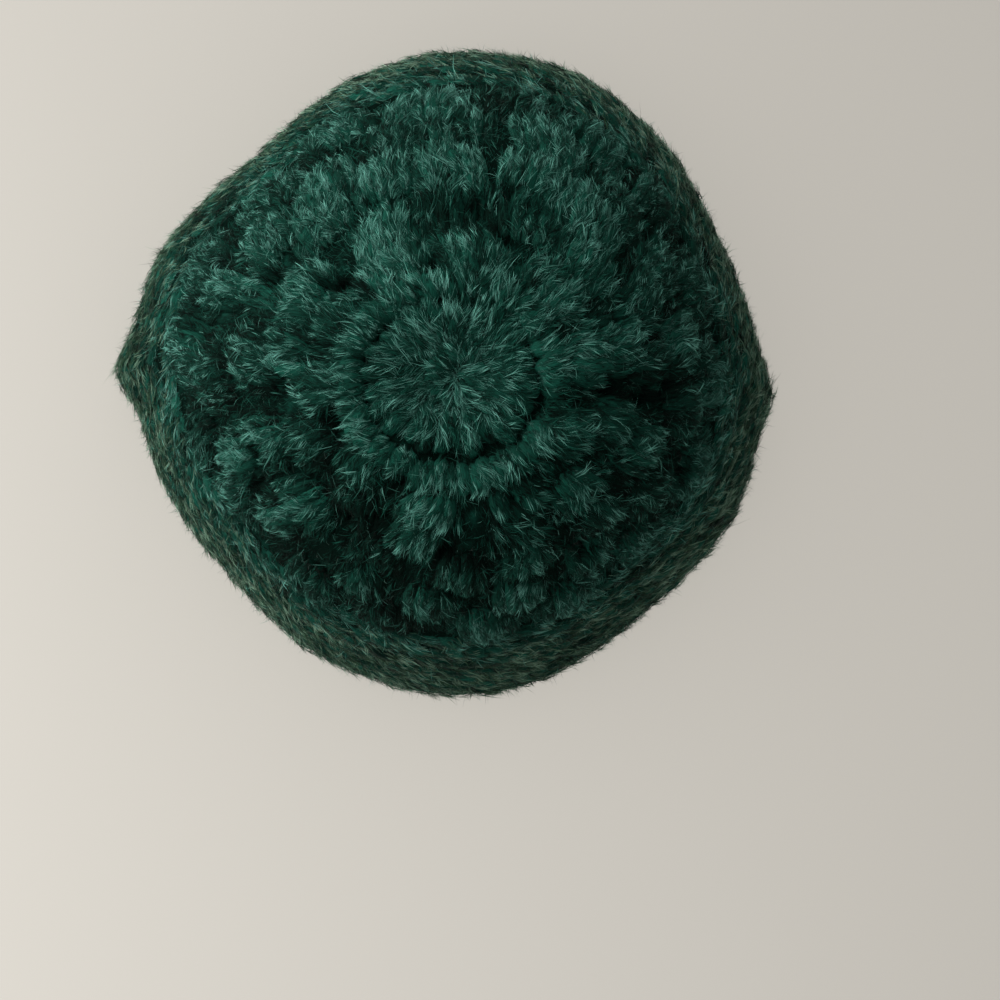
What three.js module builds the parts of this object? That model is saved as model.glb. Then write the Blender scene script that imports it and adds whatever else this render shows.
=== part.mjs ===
// A crocheted beanie that stands on its rim, in millimetres, +Z up, origin under its middle on the surface.
// It is worked in the round from the top: a padded starting disc, a ring of long stitches, rounds of
// fanned shells, and a band of plain ridges that ends in the rim. The front is -Y, and the crown leans there.
import * as THREE from "three";

// Sizes of the whole hat.
const rimDiameter = 197; // mean, across the foot of the stitches
const height = 124; // floor to the top of the smooth crown
const crownLean = 15; // the crown's centre lies this far in front of the middle of the rim
const crownSide = 6; // and this far to the right of it
const wall = 7.5; // from the inner face to the foot of the stitches
const seamGap = 0.3; // between crown and band
const bandRidges = 8;

// Sizes of the stitches.
const shellPuff = 3.4; // how far a fanned shell stands out
const ringPuff = 3; // the same for the ring of long stitches round the starting disc
const discPuff = 4.5; // and for the padded starting disc
const discGroove = 2.6; // depth of the groove round the starting disc, on its front side
const ridgePuff = 2.6; // how far a ridge of the band stands out

// The profile from the crown's centre to the rim: distance out as a share of the mean rim radius,
// and height as a share of the whole.
const profile = [
  { out: 0, up: 0.966 },
  { out: 0.14, up: 0.976 },
  { out: 0.28, up: 1.0 },
  { out: 0.4, up: 0.975 },
  { out: 0.52, up: 0.918 },
  { out: 0.64, up: 0.832 },
  { out: 0.76, up: 0.708 },
  { out: 0.86, up: 0.552 },
  { out: 0.935, up: 0.37 },
  { out: 0.982, up: 0.185 },
  { out: 1.0, up: 0 },
];

// The plan outline of the rim: radius at an azimuth, as a share of the mean.
const outline = [
  { azimuth: 0, share: 1.02 },
  { azimuth: 25, share: 0.985 },
  { azimuth: 45, share: 1.02 },
  { azimuth: 65, share: 1.052 },
  { azimuth: 90, share: 1.03 },
  { azimuth: 110, share: 0.972 },
  { azimuth: 133, share: 0.912 },
  { azimuth: 165, share: 1.0 },
  { azimuth: 200, share: 0.972 },
  { azimuth: 222, share: 0.948 },
  { azimuth: 245, share: 0.99 },
  { azimuth: 278, share: 1.042 },
  { azimuth: 312, share: 1.006 },
  { azimuth: 335, share: 1.042 },
];

// The corners that flat storage leaves in the band: how far they stand out at the rim, and how wide they are.
const foldCorners = [
  { azimuth: 180, reach: 7, halfWidth: 10 },
  { azimuth: 356, reach: 4, halfWidth: 10 },
];

// Dents in the crown: each is a valley from its start to its end, given as an azimuth and a share of the way
// from the crown's centre to the rim.
const dents = [
  { name: "right_crease", from: [-17, 0.15], to: [-6, 0.36], depth: 4.5, halfWidth: 5.5 },
  { name: "left_crease", from: [162, 0.33], to: [172, 0.48], depth: 3.5, halfWidth: 6 },
  { name: "front_left_hollow", from: [-142, 0.3], to: [-112, 0.36], depth: 3, halfWidth: 8 },
  { name: "back_hollow", from: [98, 0.24], to: [62, 0.28], depth: 2.5, halfWidth: 8 },
];

// Rounds of the crown, from the centre out. upTo is the share of the way to the rim where a round ends,
// repeats is how many shells or long stitches it has, and turn shifts them round, as a share of one.
const rounds = [
  { name: "disc", upTo: 0.13, repeats: 12, turn: 0, puff: discPuff },
  { name: "ring", upTo: 0.175, repeats: 28, turn: 0, puff: ringPuff },
  { name: "shells_1", upTo: 0.235, repeats: 10, turn: 0.3, puff: shellPuff },
  { name: "shells_2", upTo: 0.306, repeats: 13, turn: 0.1, puff: shellPuff },
  { name: "shells_3", upTo: 0.382, repeats: 16, turn: 0.55, puff: shellPuff },
  { name: "shells_4", upTo: 0.458, repeats: 18, turn: 0.2, puff: shellPuff },
  { name: "shells_5", upTo: 0.536, repeats: 18, turn: 0.7, puff: shellPuff },
];
const seam = rounds.at(-1).upTo;

// How finely the faces follow the shape.
const samplesPerShell = 6;
const samplesPerRing = 2; // for each long stitch of the ring
const samplesPerDisc = 3; // for each repeat of the disc
const roundSteps = [0, 0.22, 0.5, 0.78]; // rows of faces in each round, as shares of its height
const bandSteps = [0, 0.3, 0.7]; // rows of faces in each ridge of the band, groove then crest
const bandSamples = 100; // faces round the seam and the band
const innerSamples = 50; // faces round the inner side
const innerSteps = 6; // rows of faces down each inner side

const radians = THREE.MathUtils.degToRad;
const meanRadius = rimDiameter / 2;
const leanPower = 3; // the lean grows with this power of the height
const upward = new THREE.Vector3(0, 0, 1);

const profileCurve = new THREE.SplineCurve(
  profile.map((row) => new THREE.Vector2(row.out * meanRadius, row.up * height)),
);

// A smooth closed curve through the outline's table.
function outlineShare(azimuth) {
  const turn = THREE.MathUtils.euclideanModulo(azimuth, 360);
  const count = outline.length;
  let i = 0;
  while (i + 1 < count && outline[i + 1].azimuth <= turn) i += 1;
  const row = (k) => {
    const laps = Math.floor(k / count);
    const at = outline[k - laps * count];
    return { azimuth: at.azimuth + 360 * laps, share: at.share };
  };
  const [a, b, c, d] = [row(i - 1), row(i), row(i + 1), row(i + 2)];
  const span = c.azimuth - b.azimuth;
  const t = (turn - b.azimuth) / span;
  const slopeB = ((c.share - a.share) / (c.azimuth - a.azimuth)) * span;
  const slopeC = ((d.share - b.share) / (d.azimuth - b.azimuth)) * span;
  const [t2, t3] = [t * t, t * t * t];
  return (
    b.share * (2 * t3 - 3 * t2 + 1) +
    slopeB * (t3 - 2 * t2 + t) +
    c.share * (3 * t2 - 2 * t3) +
    slopeC * (t3 - t2)
  );
}

// How far a fold corner stands out at an azimuth, at a share of the way down the band.
function cornerReach(azimuth, down) {
  let reach = 0;
  for (const corner of foldCorners) {
    const off = THREE.MathUtils.euclideanModulo(azimuth - corner.azimuth + 180, 360) - 180;
    const near = Math.max(0, 1 - Math.abs(off) / corner.halfWidth);
    reach += corner.reach * near * Math.sqrt(near);
  }
  return reach * Math.sin((Math.PI / 2) * Math.max(0, down));
}

const bandShare = (share) => (share - seam) / (1 - seam);

// The smooth face at the foot of the stitches, from the crown's centre (share 0) to the rim (share 1).
function face(azimuth, share) {
  const at = profileCurve.getPointAt(share);
  const out = at.x / meanRadius;
  const lean = (at.y / height) ** leanPower;
  const radius = at.x * THREE.MathUtils.lerp(1, outlineShare(azimuth), out) + cornerReach(azimuth, bandShare(share));
  const angle = radians(azimuth);
  return new THREE.Vector3(
    crownSide * lean + radius * Math.cos(angle),
    -crownLean * lean + radius * Math.sin(angle),
    at.y,
  );
}

// The outward direction of the smooth face. It turns level towards the rim, so that the rim stays flat.
function outward(azimuth, share) {
  const step = 0.004;
  const away = Math.max(share, step);
  const across = face(azimuth + 0.5, away).sub(face(azimuth - 0.5, away));
  const down = face(azimuth, Math.min(away + step, 1)).sub(face(azimuth, away - step));
  const direction = down.cross(across).normalize();
  direction.z *= 1 - Math.max(0, bandShare(share)) ** 2;
  return direction.normalize();
}

// The depth of the dents at a point of the crown.
function dentDepth(azimuth, share) {
  const at = face(azimuth, share);
  let depth = 0;
  for (const dent of dents) {
    const valley = new THREE.Line3(face(...dent.from), face(...dent.to));
    const nearest = valley.closestPointToPoint(at, true, new THREE.Vector3());
    const off = at.distanceTo(nearest) / dent.halfWidth;
    depth += dent.depth * Math.exp(-off * off);
  }
  return depth;
}

// How far the stitches of the crown stand out: each round swells in its middle, and each shell is a fan.
function crownRelief(azimuth, share) {
  let start = 0;
  for (const round of rounds) {
    if (share <= round.upTo) {
      const up = (share - start) / (round.upTo - start);
      if (round.name === "disc") {
        const front = (1 - Math.sin(radians(azimuth))) / 2;
        return round.puff * (1 - up ** 4) - discGroove * front * up ** 6;
      }
      const repeat = (azimuth / 360) * round.repeats + round.turn;
      const across = 2 * THREE.MathUtils.euclideanModulo(repeat, 1) - 1;
      const swell = Math.sqrt(Math.sin(Math.PI * (0.04 + 0.92 * up)));
      const fan = round.name === "ring" ? 1 : 1 - 0.85 * across ** 4;
      return round.puff * swell * fan;
    }
    start = round.upTo;
  }
  return 0;
}

function crownOutside(azimuth, share) {
  const lift = crownRelief(azimuth, share) - dentDepth(azimuth, share);
  return face(azimuth, share).addScaledVector(outward(azimuth, share), lift);
}

// The ridges of the band swell between grooves. The rim is a groove's bottom.
function bandOutside(azimuth, share) {
  const ridge = THREE.MathUtils.euclideanModulo(bandShare(share) * bandRidges, 1);
  const lift = ridgePuff * Math.sqrt(Math.sin(Math.PI * ridge));
  return face(azimuth, share).addScaledVector(outward(azimuth, share), lift);
}

function inside(azimuth, share) {
  return face(azimuth, share).addScaledVector(outward(azimuth, share), -wall);
}

// A point of one side of the seam, which is half the gap above (1) or below (-1) its middle line.
function seamPoint(azimuth, depth, side) {
  const along = face(azimuth, seam - 0.01).sub(face(azimuth, seam + 0.01)).normalize();
  return face(azimuth, seam)
    .addScaledVector(outward(azimuth, seam), -depth)
    .addScaledVector(along, (side * seamGap) / 2);
}

// A closed surface is built from rings of points, each bridged to the next.
class RingMesh {
  constructor() {
    this.points = [];
    this.faces = [];
  }

  ring(count, pointAt) {
    const first = this.points.length;
    for (let k = 0; k < count; k += 1) this.points.push(pointAt((360 * k) / count));
    return { first, count };
  }

  // Joins two rings with triangles, always taking the next point of the ring that lags behind.
  bridge(one, two) {
    let [i, j] = [0, 0];
    while (i < one.count || j < two.count) {
      const a = one.first + (i % one.count);
      const b = two.first + (j % two.count);
      const oneLags = (i + 1) / one.count <= (j + 1) / two.count;
      if (i < one.count && (oneLags || j >= two.count)) {
        i += 1;
        this.faces.push(a, b, one.first + (i % one.count));
      } else {
        j += 1;
        this.faces.push(a, b, two.first + (j % two.count));
      }
    }
  }

  // Closes a ring with a point in its middle, for a face that looks up or down.
  cap(ring, point, looksUp) {
    this.points.push(point);
    const middle = this.points.length - 1;
    for (let k = 0; k < ring.count; k += 1) {
      const here = ring.first + k;
      const next = ring.first + ((k + 1) % ring.count);
      if (looksUp) this.faces.push(middle, here, next);
      else this.faces.push(middle, next, here);
    }
  }

  bridgeAll(rings) {
    for (let k = 0; k + 1 < rings.length; k += 1) this.bridge(rings[k], rings[k + 1]);
  }

  geometry() {
    const geometry = new THREE.BufferGeometry().setFromPoints(this.points);
    geometry.setIndex(this.faces);
    geometry.computeVertexNormals();
    return geometry;
  }
}

// Faces round a round of the crown.
function roundSamples(round) {
  if (round.name === "disc") return round.repeats * samplesPerDisc;
  if (round.name === "ring") return round.repeats * samplesPerRing;
  return round.repeats * samplesPerShell;
}

// The crown: its stitched outer face, the upper side of the seam, and its plain inner face.
function crownGeometry() {
  const mesh = new RingMesh();
  const rings = [];
  let start = 0;
  for (const round of rounds) {
    for (const step of roundSteps) {
      const share = start + step * (round.upTo - start);
      if (share > 0) rings.push(mesh.ring(roundSamples(round), (azimuth) => crownOutside(azimuth, share)));
    }
    start = round.upTo;
  }
  rings.push(mesh.ring(bandSamples, (azimuth) => seamPoint(azimuth, 0, 1)));
  rings.push(mesh.ring(bandSamples, (azimuth) => seamPoint(azimuth, wall, 1)));
  for (let k = innerSteps - 1; k > 0; k -= 1) {
    const count = Math.round((innerSamples * (k + innerSteps)) / (2 * innerSteps));
    rings.push(mesh.ring(count, (azimuth) => inside(azimuth, (seam * k) / innerSteps)));
  }
  mesh.bridgeAll(rings);
  mesh.cap(rings[0], face(0, 0).addScaledVector(upward, discPuff), true);
  mesh.cap(rings.at(-1), face(0, 0).addScaledVector(upward, -wall), false);
  return mesh.geometry();
}

// The band: the lower side of the seam, its ridges down to the rim, the flat rim, and its plain inner face.
function bandGeometry() {
  const mesh = new RingMesh();
  const rings = [mesh.ring(bandSamples, (azimuth) => seamPoint(azimuth, 0, -1))];
  for (let ridge = 0; ridge < bandRidges; ridge += 1) {
    for (const step of bandSteps) {
      const share = seam + ((1 - seam) * (ridge + step)) / bandRidges;
      if (share > seam) rings.push(mesh.ring(bandSamples, (azimuth) => bandOutside(azimuth, share)));
    }
  }
  rings.push(mesh.ring(bandSamples, (azimuth) => face(azimuth, 1)));
  for (let k = innerSteps; k > 0; k -= 1) {
    const share = seam + ((1 - seam) * k) / innerSteps;
    rings.push(mesh.ring(innerSamples, (azimuth) => inside(azimuth, share)));
  }
  rings.push(mesh.ring(bandSamples, (azimuth) => seamPoint(azimuth, wall, -1)));
  mesh.bridgeAll(rings);
  mesh.bridge(rings.at(-1), rings[0]);
  return mesh.geometry();
}

const yarn = new THREE.MeshStandardMaterial({ color: 0x12392f, roughness: 0.95, metalness: 0 });

const crown = new THREE.Mesh(crownGeometry(), yarn.clone());
crown.name = "crown";
const band = new THREE.Mesh(bandGeometry(), yarn.clone());
band.name = "band";

const beanie = new THREE.Group();
beanie.add(crown, band);

// The origin is under the middle of the hat's box.
const middle = new THREE.Box3().setFromObject(beanie).getCenter(new THREE.Vector3());
beanie.position.set(-middle.x, -middle.y, 0);

export default beanie;
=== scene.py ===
"""Dresses the crocheted beanie: its wall, its puffy stitches and the brushed fibres of its yarn.

Metres, +Z up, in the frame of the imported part. The front is -Y, and the camera looks down on the crown, a little from
the front. Azimuths are degrees from +X, and shares of the way run from the crown's centre, 0, to the rim, 1.
"""

import math
from collections import namedtuple

import bmesh
import bpy
import numpy as np
from bpy.props import FloatProperty, FloatVectorProperty, IntProperty, PointerProperty
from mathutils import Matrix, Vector


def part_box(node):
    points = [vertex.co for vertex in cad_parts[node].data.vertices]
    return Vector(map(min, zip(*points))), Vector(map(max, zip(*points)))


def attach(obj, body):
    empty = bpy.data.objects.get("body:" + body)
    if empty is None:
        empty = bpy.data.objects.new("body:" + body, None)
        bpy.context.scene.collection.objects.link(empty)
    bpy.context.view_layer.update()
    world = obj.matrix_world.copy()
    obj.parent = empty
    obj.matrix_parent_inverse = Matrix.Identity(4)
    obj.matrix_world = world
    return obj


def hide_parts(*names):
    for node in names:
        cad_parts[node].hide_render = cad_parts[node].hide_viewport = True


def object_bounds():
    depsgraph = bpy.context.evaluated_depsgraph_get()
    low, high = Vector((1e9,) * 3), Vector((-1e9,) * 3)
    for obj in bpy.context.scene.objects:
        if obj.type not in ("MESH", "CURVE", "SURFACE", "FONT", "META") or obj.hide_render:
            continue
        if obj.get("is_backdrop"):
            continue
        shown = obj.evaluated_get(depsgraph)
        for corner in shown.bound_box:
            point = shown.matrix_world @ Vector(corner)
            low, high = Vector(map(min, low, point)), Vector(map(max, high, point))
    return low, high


bl_info = {
    "name": "Crocheted Beanie",
    "version": (1, 0, 0),
    "blender": (4, 5, 0),
    "location": "View3D > Sidebar > Beanie",
    "description": "Makes a chunky crocheted beanie of brushed yarn, with a plain floor, lights and a camera",
    "category": "Add Mesh",
}

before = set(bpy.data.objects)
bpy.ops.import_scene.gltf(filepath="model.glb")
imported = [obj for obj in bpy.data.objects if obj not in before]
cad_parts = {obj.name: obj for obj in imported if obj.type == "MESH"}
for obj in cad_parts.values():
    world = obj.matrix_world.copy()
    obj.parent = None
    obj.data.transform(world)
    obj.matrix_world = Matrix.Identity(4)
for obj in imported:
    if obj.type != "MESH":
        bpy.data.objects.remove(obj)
CAD_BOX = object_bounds()
BAND_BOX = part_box("band")

# The profile from the crown's centre to the rim: distance out as a share of the mean rim radius, and height as a
# share of the whole.
ProfileRow = namedtuple("ProfileRow", "out up")
PROFILE = (
    ProfileRow(out=0, up=0.966),
    ProfileRow(out=0.14, up=0.976),
    ProfileRow(out=0.28, up=1.0),
    ProfileRow(out=0.4, up=0.975),
    ProfileRow(out=0.52, up=0.918),
    ProfileRow(out=0.64, up=0.832),
    ProfileRow(out=0.76, up=0.708),
    ProfileRow(out=0.86, up=0.552),
    ProfileRow(out=0.935, up=0.37),
    ProfileRow(out=0.982, up=0.185),
    ProfileRow(out=1.0, up=0),
)

# The plan outline of the rim: radius at an azimuth, as a share of the mean.
OutlineRow = namedtuple("OutlineRow", "azimuth share")
OUTLINE = (
    OutlineRow(azimuth=0, share=1.02),
    OutlineRow(azimuth=25, share=0.985),
    OutlineRow(azimuth=45, share=1.02),
    OutlineRow(azimuth=65, share=1.052),
    OutlineRow(azimuth=90, share=1.03),
    OutlineRow(azimuth=110, share=0.972),
    OutlineRow(azimuth=133, share=0.912),
    OutlineRow(azimuth=165, share=1.0),
    OutlineRow(azimuth=200, share=0.972),
    OutlineRow(azimuth=222, share=0.948),
    OutlineRow(azimuth=245, share=0.99),
    OutlineRow(azimuth=278, share=1.042),
    OutlineRow(azimuth=312, share=1.006),
    OutlineRow(azimuth=335, share=1.042),
)

# The corners that flat storage leaves in the band: how far they stand out at the rim, and half their width.
FoldCorner = namedtuple("FoldCorner", "azimuth reach half_width")
FOLD_CORNERS = (
    FoldCorner(azimuth=180, reach=0.007, half_width=10),
    FoldCorner(azimuth=356, reach=0.004, half_width=10),
)

# Valleys in the crown, from a start to an end that are given as an azimuth and a share of the way to the rim.
Dent = namedtuple("Dent", "name start end depth half_width")
DENTS = (
    Dent(name="right_crease", start=(-17, 0.15), end=(-6, 0.36), depth=0.0045, half_width=0.0055),
    Dent(name="left_crease", start=(162, 0.33), end=(172, 0.48), depth=0.0035, half_width=0.006),
    Dent(name="front_left_hollow", start=(-142, 0.3), end=(-112, 0.36), depth=0.003, half_width=0.008),
    Dent(name="back_hollow", start=(98, 0.24), end=(62, 0.28), depth=0.0025, half_width=0.008),
)

# Small dark holes between the stitches: where each lies, as an azimuth and a share of the way to the rim, and how far
# its hollow reaches.
Pit = namedtuple("Pit", "azimuth share reach")
PITS = (
    Pit(azimuth=-118, share=0.175, reach=0.0024),
    Pit(azimuth=-65, share=0.213, reach=0.003),
    Pit(azimuth=-114, share=0.253, reach=0.0024),
    Pit(azimuth=-119, share=0.275, reach=0.0022),
    Pit(azimuth=-125, share=0.306, reach=0.0032),
    Pit(azimuth=-93, share=0.285, reach=0.0026),
    Pit(azimuth=-54, share=0.4, reach=0.0032),
    Pit(azimuth=-157, share=0.363, reach=0.0024),
    Pit(azimuth=-152, share=0.384, reach=0.0022),
    Pit(azimuth=-148, share=0.409, reach=0.0024),
    Pit(azimuth=-90, share=0.383, reach=0.0026),
    Pit(azimuth=-176, share=0.277, reach=0.0026),
    Pit(azimuth=-162, share=0.2, reach=0.0024),
    Pit(azimuth=-6, share=0.245, reach=0.003),
    Pit(azimuth=-8, share=0.327, reach=0.003),
    Pit(azimuth=-25, share=0.466, reach=0.0026),
    Pit(azimuth=2, share=0.54, reach=0.003),
    Pit(azimuth=17, share=0.276, reach=0.0022),
    Pit(azimuth=32, share=0.433, reach=0.0024),
    Pit(azimuth=47, share=0.506, reach=0.0022),
    Pit(azimuth=60, share=0.475, reach=0.002),
    Pit(azimuth=72, share=0.3, reach=0.002),
    Pit(azimuth=82, share=0.263, reach=0.0022),
    Pit(azimuth=69, share=0.222, reach=0.0022),
    Pit(azimuth=89, share=0.428, reach=0.0022),
    Pit(azimuth=102, share=0.18, reach=0.0022),
    Pit(azimuth=110, share=0.427, reach=0.0018),
    Pit(azimuth=116, share=0.313, reach=0.0018),
    Pit(azimuth=142, share=0.232, reach=0.0024),
    Pit(azimuth=146, share=0.253, reach=0.0022),
    Pit(azimuth=153, share=0.335, reach=0.003),
)
PIT_DEPTH = 0.004

# The least height of a strand above the floor.
FLOOR_GAP = 0.0003

# How much of the stitches' relief the wall behind them takes, how far it stays under the band's ridges, and its columns
# and rows of faces.
WALL_RELIEF = 0.25
UNDER_RIDGE = 0.0012
WALL_COLUMNS = 150
CROWN_ROWS = 60
ROWS_PER_RIDGE = 8
INNER_ROWS = 50

# The low ridges on the wall's inner face: how many lie under the crown, and half their height.
INNER_RIDGES = 14
INNER_PUFF = 0.0006

# Rounds of shells, from the inner one out: where each starts and ends on the way to the rim, its shells, and how far
# they are turned, as a share of one.
ShellRound = namedtuple("ShellRound", "start end shells turn")
SHELL_ROUNDS = (
    ShellRound(start=0.175, end=0.235, shells=10, turn=0.3),
    ShellRound(start=0.235, end=0.306, shells=13, turn=0.1),
    ShellRound(start=0.306, end=0.382, shells=16, turn=0.55),
    ShellRound(start=0.382, end=0.458, shells=18, turn=0.2),
    ShellRound(start=0.458, end=0.536, shells=18, turn=0.7),
)

# Where the disc ends and the band starts on the way to the rim, and how the crown's lean grows with the height.
DISC_END = 0.13
SEAM = SHELL_ROUNDS[-1].end
LEAN_POWER = 3

# Posts of the disc and of the ring round it: how many there are, how far each strays, as a share of its room, its turn
# from foot to tip, its tone, and how much darker its foot and its tip are at the hat's front. That darkening is painted
# shade: the shadow in the groove round the disc at the front.
PostKind = namedtuple("PostKind", "count stray turn tone foot tip")
INNER_POSTS = PostKind(count=12, stray=0.1, turn=14, tone=0.56, foot=0, tip=0)
DISC_POSTS = PostKind(count=27, stray=0.12, turn=4, tone=0.52, foot=0, tip=0.5)
RING_POSTS = PostKind(count=54, stray=0.05, turn=1, tone=0.56, foot=0.15, tip=0)
INNER_WIDTH = 0.0064

# Where they lie on the way to the rim. The disc reaches farther on the left. Its posts end a little past its edge at
# the back, and at the front they and the ring's posts draw back from it, so that a groove shows.
INNER_START, INNER_END = 0.002, 0.06
DISC_POST_START = 0.035
DISC_OVERLAP = 0.004
LEFT_BULGE = 0.018
DRAW_BACK = 0.01
RING_MIDDLE = 0.16
RING_DEPTH = 0.044

# How much wider a stitch is than its room, so that neighbours press together.
DISC_CROWDING = 1.6
RING_CROWDING = 2.1
SHELL_CROWDING = 1.5

# A shell of posts: its tone, how far it stands out, as a share of the shell puff, how much darker its feet are, how
# wide they spread, as a share of its room, and how much its sides drop and darken. At the front shells lie apart. The
# lower tone at the front, the darker feet and the darker sides are painted shade: the front faces away from the light,
# and shade falls in the valleys between shells and rounds.
SHELL_POSTS = 6
Shell = namedtuple("Shell", "tone rise foot spread droop side_shade")
BACK_SHELL = Shell(tone=0.58, rise=0.75, foot=0, spread=0.95, droop=2.6, side_shade=0.5)
FRONT_SHELL = Shell(tone=0.52, rise=1, foot=0.45, spread=0.7, droop=4.4, side_shade=1.6)

# How far the posts of a shell reach into the next round, how wide their tips spread, as a share of the shell's room,
# and how much more some shells of the last round reach, over the seam.
SHELL_REACH = 1.2
TIP_SPREAD = 0.98
SEAM_REACH = 0.3

# How far posts of the ring and of the shells stand out past their puff.
EXTRA_PUFF = 0.0004

# Stitches of the band: the slanted ones on its ridges, and the short ones between. Start and end are shares of a ridge,
# and the turn is in steps from one stitch to the next. The short ones' lower tone and the darker feet and tips of the
# crests are painted shade in the grooves between the ridges.
RIDGE_STITCHES = 96
BandKind = namedtuple("BandKind", "width start end turn tone foot tip")
CREST = BandKind(width=0.0078, start=0.3, end=0.68, turn=1.7, tone=0.59, foot=0.35, tip=0.4)
GROOVE = BandKind(width=0.0048, start=0.66, end=1.28, turn=0.6, tone=0.39, foot=0, tip=0)
GROOVE_TOP = 0.001
LAST_SHARE = 0.985

# How far a stitch's centre line lies under its top, and how tall the stitch is, as shares of its width.
TOP_TO_CENTRE = 0.4
TUBE_HEIGHT = 0.85

# Tones run from 0, the darkest, to 1, the lightest. Patches of the yarn differ by a strength, over a size, and a bright
# clump of fibres is lighter. A stitch is darker under its fibres, at its flanks, in a pit, and in a valley, for a metre
# of its depth: painted shade, where less light reaches. Fibres that don't grow from a stitch take less of the pits'
# painted shade.
PATCHES = ((0.12, 0.004), (0.09, 0.002))
BRIGHT_CLUMP = 0.24
CORE_SHADE = 0.24
FLANK_SHADE = 0.09
PIT_SHADE = 1.1
GROUND_PIT_SHADE = 0.6
DENT_SHADE = 80

# The distance over which locks of fibres turn together.
LOCK_SIZE = 0.009

# The band's yarn is like the crown's above this share of its height, with a blend between the two. Below, its fibres
# take greyer, lighter colours: a painted sheen of the fuzz, which is seen at a slant there.
PLAIN_ABOVE = 0.85
PLAIN_BLEND = 0.12

# Kinds of fibre. Fibres grow in clumps that share a direction and a tone. Stray is a turn in radians, lift a slope,
# length and width are shares of the yarn's own, tone is added to the stitch's, spread is how clumps differ in it, and
# bright is the share of bright clumps.
FibreKind = namedtuple("FibreKind", "name clump stray lift length width tone spread bright bent")
CROWN_LOCKS = FibreKind(
    name="locks", clump=6, stray=0.12, lift=0.09, length=1.3, width=0.9, tone=0.05, spread=0.15, bright=0.17, bent=True
)
CROWN_FUZZ = FibreKind(
    name="fuzz", clump=5, stray=0.2, lift=0.08, length=1.0, width=0.75, tone=-0.03, spread=0.15, bright=0.1, bent=False
)
BAND_LOCKS = FibreKind(
    name="locks", clump=5, stray=0.25, lift=0.2, length=1.6, width=0.85, tone=0.08, spread=0.16, bright=0.16, bent=True
)
BAND_FUZZ = FibreKind(
    name="fuzz", clump=4, stray=0.35, lift=0.25, length=0.9, width=0.95, tone=-0.02, spread=0.16, bright=0.1, bent=False
)
# The ground fibres' lower tone is painted shade in the gaps between the stitches.
GROUND_FUZZ = FibreKind(
    name="ground", clump=1, stray=0.5, lift=0.2, length=0.8, width=0.9, tone=-0.25, spread=0.12, bright=0.0, bent=False
)

# Loose fibres: the share of them on the inner face, their width as a share of the yarn's, and the share of the way past
# which none points down.
LOOSE_INSIDE = 0.35
LOOSE_WIDTH = 0.55
LEVEL_PAST = 0.9

# The colour of all lights.
LIGHT_COLOUR = (1.0, 0.99, 0.97)


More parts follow.
